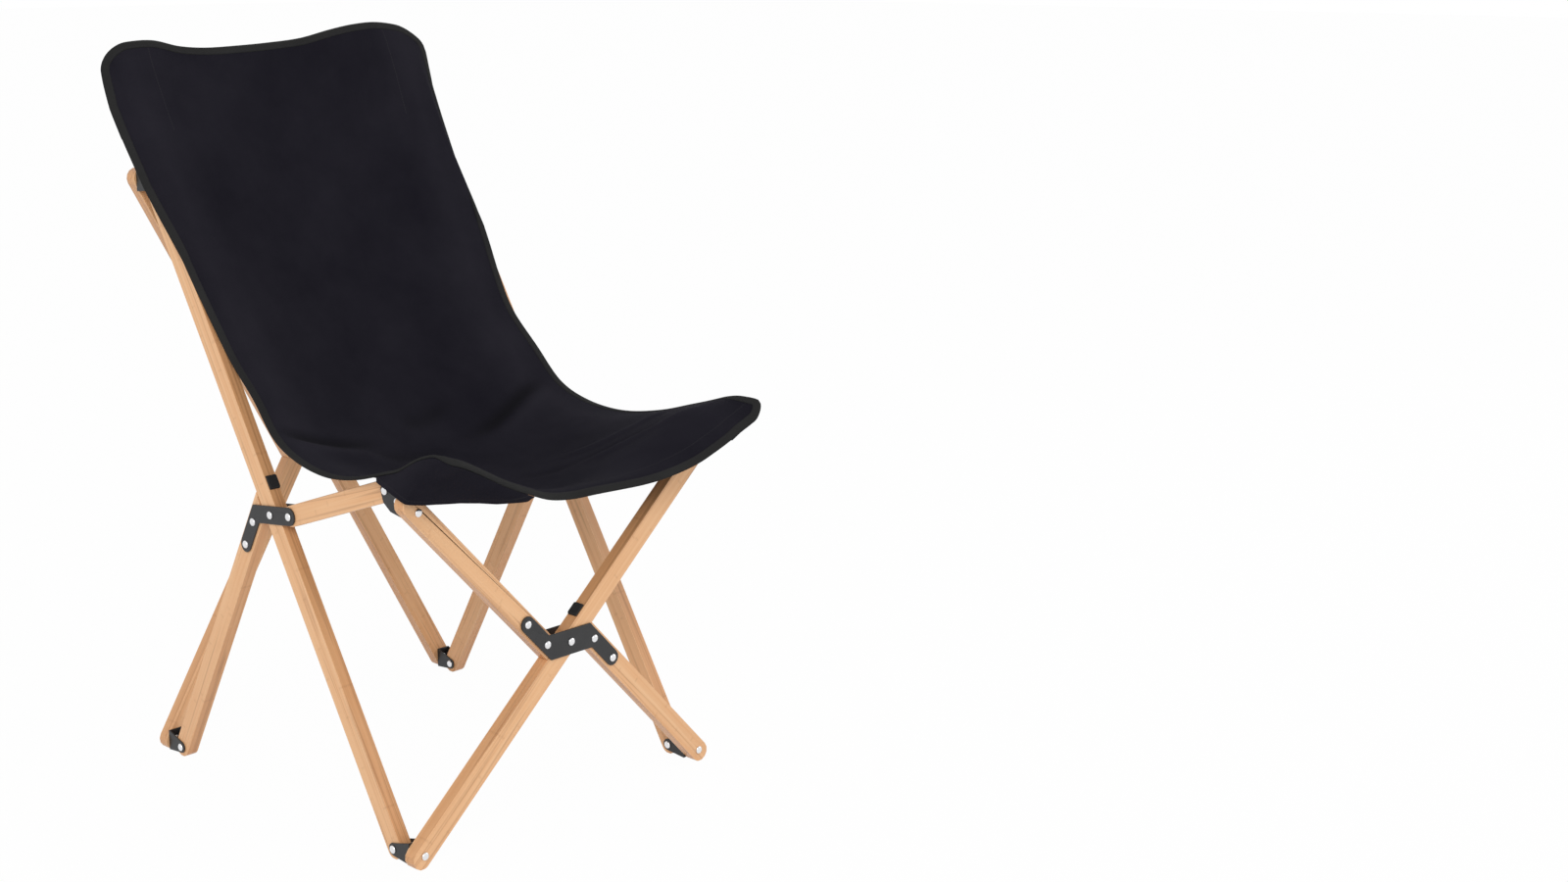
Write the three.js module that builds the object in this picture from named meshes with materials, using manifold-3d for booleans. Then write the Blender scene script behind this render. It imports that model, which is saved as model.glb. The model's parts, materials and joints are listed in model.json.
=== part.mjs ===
// Folding butterfly chair: twelve flat bamboo bars in four scissor frames, joined at eight
// pressed steel corner brackets, with a canvas sling hung from the two long bars and the front.
// Millimetres, Z up, the chair faces -Y, the origin is on the floor under the middle of its
// overall width and depth.

import * as THREE from 'three';
import { mergeVertices } from 'three/addons/utils/BufferGeometryUtils.js';
import Module from 'manifold-3d';

// Bars
const barWidth = 25;
const barThickness = 16;
const frontTopOverrun = 12;
const backTopOverrun = 2;

// Places of the side frames' pivots
const hingeHalfWidth = 225;
const hingeHalfDepth = 213.5;
const footPivotHeight = 12.1;
const sidePivotHeight = 361;
const backHingeReach = 429;
const poleOverHinge = 141;

// Places of the front and back frames' pivots
const crossPivotRise = 3;
const frontHingeHeight = 413;
const frontEarRise = 18;
const frontEarToBase = 28;
const backEarToBase = 26.5;

// Joining plates that carry the offset half bars past the long ones
const plateThickness = 2;
const plateHalfWidth = 9.75;
const offsetBarShift = 23.8;
const firstRivetReach = 30;
const crossRivetPitch = 43.8;
const sideRivetPitch = 34.7;
const crossBandHalfHeight = 15.5;
const linkBandHalfHeight = 10.8;
const linkPivotReach = 36;
const linkPivotRise = 5;
const mitreGap = 0.8;
const sideMitreRelief = 6;
const seatLinkEndDraw = 7.5;

// Corner brackets
const bracketSheet = 1.6;
const bracketBaseHalfHeight = 13;
const tallBaseDrop = 7;
const earRadius = 7.5;
const tallEarTop = 7;
const bracketBellyShare = 0.92;

// Rivets and clearances
const rivetShankRadius = 3;
const rivetHeadRadius = 4.6;
const rivetHeadHeight = 2.2;
const rivetHoleRadius = 3.45;
const shoulderRadiusShare = 0.62;
const shoulderHeightShare = 0.82;
const farHeadShare = 0.9;
const seatGap = 0.3;
const earClearance = 0.4;
const cutOverrun = 10;

// Rubber pads
const padLength = 17;
const padWidth = 14;
const padThickness = 3.2;
const padReach = 35;
const padTopShare = 0.8;

// Sling
const slingSideMargin = 19;
const slingTopMargin = 34;
const slingWaistDraw = 27;
const clothThickness = 2;
const slingBearingMargin = 6;
const topEdgeRise = 18;
const pocketHemToHinge = 33;
const topPocketWidth = 72;
const topPocketSlack = 5;
const topPocketCrown = 16;
const topPocketFullnessShare = 0.28;
const frontPocketHemRise = 16;
const frontPocketWidth = 95;
const frontPocketDrop = 2.6;
const frontPocketReturn = 96;
const frontPocketTailDrop = 6;
const frontPocketTurnShare = 0.75;

// Counts
const capSteps = 7;
const footCapSteps = 4;
const bowSteps = 3;
const holeSteps = 8;
const latheSteps = 8;
const slingColumns = 20;
const slingRows = 26;
const topPocketColumns = 10;
const topPocketRows = 7;
const frontPocketColumns = 8;
const frontPocketRows = 3;
const surfaceStep = 1e-3;
const weldDistance = 1e-4;

// Middle line and side edge of the sling from the top edge to the front edge. Each point is a
// share of the pole tops' depth and a share of the rise from the side pivots to the top edge.
const middleLineShares = [
  [0.998, 1.002], [0.867, 0.825], [0.723, 0.632], [0.534, 0.431], [0.296, 0.242],
  [0.000, 0.098], [-0.235, 0.044], [-0.504, 0.033], [-0.756, 0.052], [-1.009, 0.078],
];
const sideEdgeShares = [
  [1.006, 0.994], [0.876, 0.873], [0.743, 0.748], [0.609, 0.623], [0.485, 0.507],
  [0.393, 0.421], [0.284, 0.334], [0.131, 0.248], [-0.015, 0.168], [-0.166, 0.139],
  [-0.368, 0.130], [-0.570, 0.147], [-0.771, 0.181], [-0.973, 0.215], [-1.126, 0.227],
];
const topRiseFadeShare = 0.11;
const frontSagBlendShare = 1.6;
const frontReleaseShare = 0.9;
const sagBlendShare = 0.35;

const wasm = await Module();
wasm.setup();

// Colours and finishes of the real materials
const finishes = {
  bamboo: { color: 0xdfb07c, roughness: 0.5, metalness: 0 },
  blackSteel: { color: 0x1c1c1e, roughness: 0.45, metalness: 0.6 },
  zincSteel: { color: 0xb9bbbd, roughness: 0.3, metalness: 1 },
  rubber: { color: 0x151515, roughness: 0.8, metalness: 0 },
  canvas: { color: 0x201f26, roughness: 0.95, metalness: 0 },
};

// Turns a group so that its x, y and z run along the part's y, z and x.
function standInSidePlane(group) {
  const turn = new THREE.Matrix4().makeBasis(
    new THREE.Vector3(0, 1, 0),
    new THREE.Vector3(0, 0, 1),
    new THREE.Vector3(1, 0, 0),
  );
  group.quaternion.setFromRotationMatrix(turn);
  return group;
}

function piece(name, geometry, finish) {
  const mesh = new THREE.Mesh(geometry, new THREE.MeshStandardMaterial(finishes[finish]));
  mesh.name = name;
  return mesh;
}

function onlyPositions(geometry) {
  const plain = geometry.clone();
  plain.deleteAttribute('normal');
  plain.deleteAttribute('uv');
  return mergeVertices(plain, weldDistance);
}

function toSolid(geometry) {
  const closed = onlyPositions(geometry);
  const vertProperties = new Float32Array(closed.attributes.position.array);
  const triVerts = new Uint32Array(closed.index.array);
  return new wasm.Manifold(new wasm.Mesh({ numProp: 3, vertProperties, triVerts }));
}

function toGeometry(solid) {
  const mesh = solid.getMesh();
  const geometry = new THREE.BufferGeometry();
  geometry.setAttribute('position', new THREE.BufferAttribute(mesh.vertProperties, 3));
  geometry.setIndex(new THREE.BufferAttribute(mesh.triVerts, 1));
  return geometry;
}

function hole(centre, radius) {
  const path = new THREE.Path();
  for (let step = 0; step < holeSteps; step += 1) {
    const angle = (-2 * Math.PI * (step + 0.5)) / holeSteps;
    const x = centre.x + radius * Math.cos(angle);
    const y = centre.y + radius * Math.sin(angle);
    if (step === 0) path.moveTo(x, y);
    else path.lineTo(x, y);
  }
  path.closePath();
  return path;
}

// Plate of even thickness, half of it on each side of the outline's plane.
function slab(outline, thickness, holes = [], holeRadius = rivetHoleRadius) {
  const shape = new THREE.Shape(outline);
  for (const centre of holes) shape.holes.push(hole(centre, holeRadius));
  const geometry = new THREE.ExtrudeGeometry(shape, { depth: thickness, bevelEnabled: false });
  return geometry.translate(0, 0, -thickness / 2);
}

function arcPoints(centre, radius, from, to, steps) {
  const points = [];
  for (let step = 0; step <= steps; step += 1) {
    const angle = from + ((to - from) * step) / steps;
    points.push(new THREE.Vector2(
      centre.x + radius * Math.cos(angle),
      centre.y + radius * Math.sin(angle),
    ));
  }
  return points;
}

// Full round end of a flat bar, from the side on the right of the way out to the other side.
function roundEnd(centre, wayOut) {
  const middle = Math.atan2(wayOut.y, wayOut.x);
  return arcPoints(centre, barWidth / 2, middle - Math.PI / 2, middle + Math.PI / 2, capSteps);
}

// Round foot end, planed level where it would reach below the floor.
function footEnd(centre, wayUp) {
  const radius = barWidth / 2;
  const right = Math.atan2(wayUp.y, wayUp.x) + Math.PI / 2;
  const down = (3 * Math.PI) / 2;
  const halfFlat = Math.acos(footPivotHeight / radius);
  return [
    ...arcPoints(centre, radius, right, down - halfFlat, footCapSteps),
    ...arcPoints(centre, radius, down + halfFlat, right + Math.PI, footCapSteps),
  ];
}

function ahead(from, direction, distance) {
  return from.clone().addScaledVector(direction, distance);
}

function directionOf(from, to) {
  return to.clone().sub(from).normalize();
}

function leftOf(direction) {
  return new THREE.Vector2(-direction.y, direction.x);
}

// Where two lines cross, each given by a point and a direction.
function crossing(pointA, directionA, pointB, directionB) {
  const between = pointB.clone().sub(pointA);
  const along = between.cross(directionB) / directionA.cross(directionB);
  return ahead(pointA, directionA, along);
}

// Axis of an offset half bar: it ends on pivotEnd and passes the scissor pivot at the plates'
// shift, on its left. Returns the axis direction away from the pivot and its near point.
function offsetAxis(pivot, pivotEnd) {
  const reach = pivot.distanceTo(pivotEnd);
  const turn = Math.asin(offsetBarShift / reach);
  const direction = directionOf(pivot, pivotEnd).rotateAround(new THREE.Vector2(), -turn);
  const near = ahead(pivot, leftOf(direction), offsetBarShift);
  return { direction, near };
}

// End of an offset half bar at its scissor pivot, cut along the edge of the open long bar. The
// relief draws its inner corner back along the bar, clear of the long bar when folded.
function mitredEnd(pivot, longRun, axis, relief = 0) {
  const aside = leftOf(longRun);
  aside.multiplyScalar(Math.sign(aside.dot(axis.direction)));
  const cut = ahead(pivot, aside, barWidth / 2 + mitreGap);
  const out = leftOf(axis.direction);
  const outerEdge = ahead(axis.near, out, barWidth / 2);
  const innerEdge = ahead(axis.near, out, -barWidth / 2);
  return [
    crossing(outerEdge, axis.direction, cut, longRun),
    ahead(crossing(innerEdge, axis.direction, cut, longRun), axis.direction, relief),
  ];
}

// Rivet along z with a head under its foot and one past its length. Without a far head it is
// a stub that ends flush.
function rivetGeometry(length, farHead = true) {
  const profile = [
    new THREE.Vector2(0, -rivetHeadHeight),
    new THREE.Vector2(rivetHeadRadius * shoulderRadiusShare, -rivetHeadHeight * shoulderHeightShare),
    new THREE.Vector2(rivetHeadRadius, 0),
    new THREE.Vector2(rivetShankRadius, 0),
    new THREE.Vector2(rivetShankRadius, length),
  ];
  if (farHead) {
    const farRadius = rivetHeadRadius * farHeadShare;
    profile.push(
      new THREE.Vector2(farRadius, length),
      new THREE.Vector2(farRadius * shoulderRadiusShare, length + rivetHeadHeight * shoulderHeightShare),
      new THREE.Vector2(0, length + rivetHeadHeight),
    );
  } else {
    profile.push(new THREE.Vector2(0, length));
  }
  return new THREE.LatheGeometry(profile, latheSteps).rotateX(Math.PI / 2);
}

// Rivet through a stack whose near face is at z, its head outside it on the side that outward
// names, and its shank running the other way.
function rivetThrough(centre, faceZ, outward, length, farHead = true) {
  const geometry = rivetGeometry(length, farHead);
  if (outward > 0) geometry.rotateX(Math.PI);
  return geometry.translate(centre.x, centre.y, faceZ);
}

// Pivots and axes of a side frame, in its own plane: x is the part's y, y is the part's z
const sideFoot = new THREE.Vector2(-hingeHalfDepth, footPivotHeight);
const sideBackFoot = new THREE.Vector2(hingeHalfDepth, footPivotHeight);
const sidePivot = new THREE.Vector2(0, sidePivotHeight);
const longBarRun = directionOf(sideFoot, sidePivot);
const backHinge = ahead(sidePivot, longBarRun, backHingeReach);
const poleTop = ahead(backHinge, longBarRun, poleOverHinge);
const linkPivot = new THREE.Vector2(-linkPivotReach, sidePivotHeight + linkPivotRise);
const frontEar = new THREE.Vector2(-hingeHalfDepth, frontHingeHeight + frontEarRise);
const backLean = Math.atan2(backHinge.x - sideBackFoot.x, backHinge.y - sideBackFoot.y);
const backHingeSpan = backHinge.distanceTo(sideBackFoot);
const bracketHalfWidth = barThickness / 2 + earClearance + bracketSheet;
const barStack = barThickness + 2 * plateThickness + 4 * seatGap;

// Side plates: a band from the link pivot past the scissor pivot, then an arm down the bar.
function linkPlateOutline(axis, armEnd) {
  const band = directionOf(sidePivot, linkPivot);
  const bandUp = leftOf(band).multiplyScalar(-1);
  const bandTop = ahead(linkPivot, bandUp, linkBandHalfHeight);
  const bandBottom = ahead(linkPivot, bandUp, -linkBandHalfHeight);
  const armOut = leftOf(axis.direction);
  const armOuter = ahead(axis.near, armOut, plateHalfWidth);
  const armInner = ahead(axis.near, armOut, -plateHalfWidth);
  const bandAngle = Math.atan2(bandUp.y, bandUp.x);
  const armAngle = Math.atan2(-armOut.y, -armOut.x);
  return [
    ...arcPoints(linkPivot, linkBandHalfHeight, bandAngle, bandAngle + Math.PI, capSteps),
    crossing(bandBottom, band, armInner, axis.direction),
    ...arcPoints(armEnd, plateHalfWidth, armAngle, armAngle + Math.PI, capSteps),
    crossing(armOuter, axis.direction, bandTop, band),
  ];
}

// Cross plates: a level band over the pivot with an arm along each half bar.
function crossPlateOutline(pivot, upper, lower, upperEnd, lowerEnd) {
  const level = new THREE.Vector2(1, 0);
  const top = new THREE.Vector2(pivot.x, pivot.y + crossBandHalfHeight);
  const bottom = new THREE.Vector2(pivot.x, pivot.y - crossBandHalfHeight);
  const corners = [upper, lower].map((axis) => {
    const out = leftOf(axis.direction);
    const leftEdge = ahead(axis.near, out, plateHalfWidth);
    const rightEdge = ahead(axis.near, out, -plateHalfWidth);
    return { out, leftEdge, rightEdge };
  });
  const upperAngle = Math.atan2(-corners[0].out.y, -corners[0].out.x);
  const lowerAngle = Math.atan2(-corners[1].out.y, -corners[1].out.x);
  return [
    ...arcPoints(upperEnd, plateHalfWidth, upperAngle, upperAngle + Math.PI, capSteps),
    crossing(corners[0].leftEdge, upper.direction, bottom, level),
    crossing(corners[1].rightEdge, lower.direction, bottom, level),
    ...arcPoints(lowerEnd, plateHalfWidth, lowerAngle, lowerAngle + Math.PI, capSteps),
    crossing(corners[1].leftEdge, lower.direction, top, level),
    crossing(corners[0].rightEdge, upper.direction, top, level),
  ];
}

// A pair of plates on both faces of the bars. The outer one holds the fixed rivets.
function platePair(names, outline, pivotHoles, rivetPlaces, outward) {
  const plateMiddle = barThickness / 2 + seatGap + plateThickness / 2;
  const outer = slab(outline, plateThickness, pivotHoles).translate(0, 0, outward * plateMiddle);
  let solid = toSolid(outer);
  for (const place of rivetPlaces) {
    const face = outward * (plateMiddle + plateThickness / 2);
    const length = barStack - seatGap;
    solid = solid.add(toSolid(rivetThrough(place, face, outward, length)));
  }
  const inner = slab(outline, plateThickness, [...pivotHoles, ...rivetPlaces]);
  inner.translate(0, 0, -outward * plateMiddle);
  return [
    piece(names[0], toGeometry(solid), 'blackSteel'),
    piece(names[1], inner, 'blackSteel'),
  ];
}

function scissorPivot(name, centre, outward) {
  const face = (outward * barStack) / 2;
  return piece(name, rivetThrough(centre, face, outward, barStack), 'zincSteel');
}

// Small rubber pad on the edge of a bar, on the left of its run, past the pivot. Its outer
// face is a little shorter than its seat.
function edgePad(name, pivot, run) {
  const out = leftOf(run);
  const middle = ahead(ahead(pivot, run, padReach), out, barWidth / 2 + seatGap + padThickness / 2);
  const corner = (alongShare, outShare) => middle.clone()
    .addScaledVector(run, (alongShare * padLength) / 2)
    .addScaledVector(out, (outShare * padThickness) / 2);
  const outline = [
    corner(-1, -1), corner(1, -1), corner(1, 0),
    corner(padTopShare, 1), corner(-padTopShare, 1), corner(-1, 0),
  ];
  return piece(name, slab(outline, padWidth), 'rubber');
}

function sideFrame(side, outward) {
  const frame = standInSidePlane(new THREE.Group());
  frame.position.x = outward * hingeHalfWidth;
  const lower = offsetAxis(sidePivot, sideBackFoot);
  const firstRivet = ahead(lower.near, lower.direction, firstRivetReach);
  const secondRivet = ahead(firstRivet, lower.direction, sideRivetPitch);
  const linkRun = directionOf(linkPivot, frontEar);
  const linkTip = ahead(frontEar, linkRun, -seatLinkEndDraw);
  frame.add(piece(
    `${side}_long_bar`,
    slab(
      [...roundEnd(poleTop, longBarRun), ...footEnd(sideFoot, longBarRun)],
      barThickness,
      [sideFoot, sidePivot, backHinge],
    ),
    'bamboo',
  ));
  frame.add(piece(
    `${side}_lower_bar`,
    slab(
      [
        ...mitredEnd(sidePivot, longBarRun, lower, sideMitreRelief),
        ...footEnd(sideBackFoot, lower.direction.clone().negate()),
      ],
      barThickness,
      [sideBackFoot, firstRivet, secondRivet],
    ),
    'bamboo',
  ));
  frame.add(piece(
    `${side}_seat_link_bar`,
    slab(
      [...roundEnd(linkTip, linkRun), ...roundEnd(linkPivot, linkRun.clone().negate())],
      barThickness,
      [linkPivot],
    ),
    'bamboo',
  ));
  const outline = linkPlateOutline(lower, secondRivet);
  const names = [`${side}_outer_link_plate`, `${side}_inner_link_plate`];
  frame.add(...platePair(names, outline, [sidePivot, linkPivot], [firstRivet, secondRivet], outward));
  frame.add(scissorPivot(`${side}_scissor_pivot`, sidePivot, outward));
  frame.add(scissorPivot(`${side}_link_pivot`, linkPivot, outward));
  frame.add(edgePad(`${side}_long_bar_pad`, sidePivot, longBarRun));
  return frame;
}

// Front or back scissor frame in its own plane: x is the part's x, y runs up from the floor
// pivots. The long bar climbs from the left foot, the offset halves from the right one.
function crossFrame(name, outward, footPivot, topPivot, capHeight, topOverrun, isOpen) {
  const frame = new THREE.Group();
  frame.rotation.x = Math.PI / 2;
  const leftFoot = new THREE.Vector2(-hingeHalfWidth, footPivot);
  const rightFoot = new THREE.Vector2(hingeHalfWidth, footPivot);
  const leftTop = new THREE.Vector2(-hingeHalfWidth, topPivot);
  const rightTop = new THREE.Vector2(hingeHalfWidth, topPivot);
  const pivot = new THREE.Vector2(0, (footPivot + topPivot) / 2);
  const longRun = directionOf(leftFoot, rightTop);
  const upper = offsetAxis(pivot, leftTop);
  const lower = offsetAxis(pivot, rightFoot);
  const upperFirst = ahead(upper.near, upper.direction, firstRivetReach);
  const upperSecond = ahead(upperFirst, upper.direction, crossRivetPitch);
  const lowerFirst = ahead(lower.near, lower.direction, firstRivetReach);
  const lowerSecond = ahead(lowerFirst, lower.direction, crossRivetPitch);
  const longFootCap = ahead(leftFoot, longRun, (capHeight - footPivot) / longRun.y);
  const lowerFootCap = ahead(rightFoot, lower.direction, (capHeight - footPivot) / lower.direction.y);
  const longTopCap = ahead(rightTop, longRun, topOverrun);
  const upperTopCap = ahead(leftTop, upper.direction, topOverrun);
  frame.add(piece(
    `${name}_long_bar`,
    slab(
      [...roundEnd(longTopCap, longRun), ...footEnd(longFootCap, longRun)],
      barThickness,
      [leftFoot, pivot, rightTop],
    ),
    'bamboo',
  ));
  frame.add(piece(
    `${name}_upper_bar`,
    slab(
      [
        ...roundEnd(upperTopCap, upper.direction),
        ...mitredEnd(pivot, longRun, upper),
      ],
      barThickness,
      [upperFirst, upperSecond, leftTop],
    ),
    'bamboo',
  ));
  frame.add(piece(
    `${name}_lower_bar`,
    slab(
      [
        ...mitredEnd(pivot, longRun, lower),
        ...footEnd(lowerFootCap, lower.direction.clone().negate()),
      ],
      barThickness,
      [lowerFirst, lowerSecond, rightFoot],
    ),
    'bamboo',
  ));
  const outline = crossPlateOutline(pivot, upper, lower, upperSecond, lowerSecond);
  const rivets = [upperFirst, upperSecond, lowerFirst, lowerSecond];
  const names = [`${name}_outer_cross_plate`, `${name}_inner_cross_plate`];
  frame.add(...platePair(names, outline, [pivot], rivets, outward));
  frame.add(scissorPivot(`${name}_scissor_pivot`, pivot, outward));
  frame.add(edgePad(`${name}_long_bar_pad`, pivot, longRun));
  const face = (outward * barThickness) / 2 + outward * seatGap;
  const fullStack = barThickness + bracketSheet + 3 * seatGap;
  const corners = [
    ['left_lower', leftFoot, false],
    ['right_lower', rightFoot, isOpen],
    ['left_upper', leftTop, isOpen],
    ['right_upper', rightTop, isOpen],
  ];
  for (const [corner, place, isStub] of corners) {
    const length = isStub ? barThickness + seatGap : fullStack;
    const shank = rivetThrough(place, face, outward, length, !isStub);
    frame.add(piece(`${name}_${corner}_cross_rivet`, shank, 'zincSteel'));
  }
  return frame;
}

// Pressed bracket: a base on the cross bar and two ears that hold a side bar's end. Its origin
// is the ears' pivot, y runs out to the cross bar, z up.
function bracketGeometry(earToBase, baseRise, tall) {
  const halfWidth = bracketHalfWidth;
  const innerHalf = halfWidth - bracketSheet;
  const reachIn = -earRadius - cutOverrun;
  const baseTop = baseRise + (tall ? frontEarRise + tallEarTop : bracketBaseHalfHeight);
  const baseBottom = baseRise - (tall ? tallBaseDrop : bracketBaseHalfHeight);
  const channel = [
    new THREE.Vector2(-halfWidth, reachIn),
    new THREE.Vector2(-innerHalf, reachIn),
    new THREE.Vector2(-innerHalf, earToBase - bracketSheet),
    new THREE.Vector2(innerHalf, earToBase - bracketSheet),
    new THREE.Vector2(innerHalf, reachIn),
    new THREE.Vector2(halfWidth, reachIn),
    new THREE.Vector2(halfWidth, earToBase),
    new THREE.Vector2(-halfWidth, earToBase),
  ];
  const channelHeight = 2 * (baseTop - baseBottom + cutOverrun);
  const channelSolid = toSolid(slab(channel, channelHeight));

  const belly = tall ? bracketBellyShare : 0;
  const profile = new THREE.Shape(arcPoints(
    new THREE.Vector2(), earRadius, Math.PI / 2, tall ? Math.PI : (3 * Math.PI) / 2, capSteps,
  ));
  profile.quadraticCurveTo(
    THREE.MathUtils.lerp(earToBase / 2, -earRadius, belly),
    THREE.MathUtils.lerp((baseBottom - earRadius) / 2, baseBottom, belly),
    earToBase,
    baseBottom,
  );
  profile.lineTo(earToBase, baseTop);
  profile.closePath();
  const sideGeometry = new THREE.ExtrudeGeometry(profile, {
    depth: 2 * (halfWidth + cutOverrun), bevelEnabled: false, curveSegments: bowSteps,
  });
  sideGeometry.translate(0, 0, -halfWidth - cutOverrun);
  const turn = new THREE.Matrix4().makeBasis(
    new THREE.Vector3(0, 1, 0), new THREE.Vector3(0, 0, 1), new THREE.Vector3(1, 0, 0),
  );
  const sideSolid = toSolid(sideGeometry.applyMatrix4(turn));

  const quarter = Math.PI / 2;
  const earDrill = new THREE.CylinderGeometry(
    rivetHoleRadius, rivetHoleRadius, 2 * (halfWidth + cutOverrun), holeSteps,
  ).rotateZ(quarter);
  const baseDrill = new THREE.CylinderGeometry(
    rivetHoleRadius, rivetHoleRadius, 2 * cutOverrun, holeSteps,
  ).translate(0, earToBase, baseRise);
  const body = channelSolid.intersect(sideSolid);
  return toGeometry(body.subtract(toSolid(earDrill)).subtract(toSolid(baseDrill)));
}

// A bracket with the rivet through its ears. Where the side bar's end only rests between the
// ears, the rivet is a stub in the outer ear.
function cornerBracket(name, outward, earToBase, baseRise, tall, earIsOpen) {
  const corner = new THREE.Group();
  corner.add(piece(name, bracketGeometry(earToBase, baseRise, tall), 'blackSteel'));
  const length = earIsOpen ? bracketSheet + seatGap : 2 * (bracketHalfWidth + seatGap);
  const rivet = rivetThrough(
    new THREE.Vector2(), outward * (bracketHalfWidth + seatGap), outward, length, !earIsOpen,
  );
  rivet.rotateY(Math.PI / 2);
  corner.add(piece(`${name}_side_rivet`, rivet, 'zincSteel'));
  return corner;
}

const slingHalfWidth = hingeHalfWidth + barThickness / 2 + slingSideMargin;
const slingRise = poleTop.y + slingTopMargin - sidePivotHeight;
const topPocketLength = poleOverHinge - pocketHemToHinge;

// Smooth line through points given as shares of the poles' depth and of the sling's rise.
function slingLine(shares) {
  return new THREE.CatmullRomCurve3(shares.map(([depth, rise]) => new THREE.Vector3(
    0, depth * poleTop.x, sidePivotHeight + rise * slingRise,
  )), false, 'centripetal');
}

const middleLine = slingLine(middleLineShares);
const sideEdge = slingLine(sideEdgeShares);

// Point of the sling's middle surface: across runs from -1 to 1, along from the top edge at 0
// to the front edge at 1. It lies flat over the side bars and sags between them.
function slingPoint(across, along) {
  const centre = middleLine.getPointAt(along);
  const edge = sideEdge.getPointAt(along);
  const release = THREE.MathUtils.smoothstep(along, frontReleaseShare, 1);
  const blend = THREE.MathUtils.lerp(sagBlendShare, frontSagBlendShare, release);
  const halfWidth = slingHalfWidth - slingWaistDraw * Math.sin(Math.PI * along) ** 2;
  const bearing = hingeHalfWidth - barThickness / 2 - slingBearingMargin;
  const sagHalfWidth = THREE.MathUtils.lerp(Math.min(bearing, halfWidth), halfWidth, release);
  const reach = Math.min(1, (Math.abs(across) * halfWidth) / sagHalfWidth);
  const pull = (Math.hypot(reach, blend) - blend) / (Math.hypot(1, blend) - blend);
  const point = centre.lerp(edge, pull);
  point.x = across * halfWidth;
  const topShare = Math.max(0, 1 - along / topRiseFadeShare);
  const bump = Math.sin(Math.PI * Math.abs(across) ** 2) ** 2;
  point.z += topEdgeRise * topShare * bump;
  return point;
}

// Closed thin sheet around a surface given by a function of two shares.
function sheetSolid(surface, columns, rows, thickness) {
  const positions = [];
  const step = surfaceStep;
  for (const sign of [1, -1]) {
    for (let row = 0; row <= rows; row += 1) {
      for (let column = 0; column <= columns; column += 1) {
        const u = column / columns;
        const v = row / rows;
        const across = surface(Math.min(1, u + step), v).sub(surface(Math.max(0, u - step), v));
        const down = surface(u, Math.min(1, v + step)).sub(surface(u, Math.max(0, v - step)));
        const normal = across.cross(down).normalize();
        const point = surface(u, v).addScaledVector(normal, (sign * thickness) / 2);
        positions.push(point.x, point.y, point.z);
      }
    }
  }
  const layer = (columns + 1) * (rows + 1);
  const at = (side, column, row) => side * layer + row * (columns + 1) + column;
  const triangles = [];
  const quad = (a, b, c, d) => triangles.push(a, b, c, a, c, d);
  for (let row = 0; row < rows; row += 1) {
    for (let column = 0; column < columns; column += 1) {
      quad(at(0, column, row), at(0, column + 1, row), at(0, column + 1, row + 1), at(0, column, row + 1));
      quad(at(1, column, row), at(1, column, row + 1), at(1, column + 1, row + 1), at(1, column + 1, row));
    }
  }
  for (let row = 0; row < rows; row += 1) {
    quad(at(0, 0, row), at(0, 0, row + 1), at(1, 0, row + 1), at(1, 0, row));
    quad(at(0, columns, row), at(1, columns, row), at(1, columns, row + 1), at(0, columns, row + 1));
  }
  for (let column = 0; column < columns; column += 1) {
    quad(at(0, column, 0), at(1, column, 0), at(1, column + 1, 0), at(0, column + 1, 0));
    quad(at(0, column, rows), at(0, column + 1, rows), at(1, column + 1, rows), at(1, column, rows));
  }
  const geometry = new THREE.BufferGeometry();
  geometry.setAttribute('position', new THREE.Float32BufferAttribute(positions, 3));
  geometry.setIndex(triangles);
  return geometry;
}

// Pocket behind a top corner: a bag sewn to the sling's back along both its long edges and
// its top, open below, with the end of the pole in it.
function topPocketSurface(outward) {
  const back = new THREE.Vector3(0, longBarRun.y, -longBarRun.x);
  const top = new THREE.Vector3(0, poleTop.x, poleTop.y);
  const seam = clothThickness + seatGap;
  const lengthShare = topPocketLength / middleLine.getLength();
  return (across, down) => {
    const x = slingHalfWidth - topPocketWidth * (1 - across);
    const point = slingPoint(x / slingHalfWidth, down * lengthShare);
    const poleDepth = top.clone().sub(point).dot(back) + barWidth / 2;
    const crown = Math.min(1, (down * topPocketLength) / topPocketCrown);
    const closing = Math.sqrt(1 - (1 - crown) ** 2);
    const belly = Math.sin(Math.PI * across) ** topPocketFullnessShare * closing;
    point.addScaledVector(back, seam + (poleDepth + topPocketSlack - seam) * belly);
    point.x *= outward;
    return point;
  };
}

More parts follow.
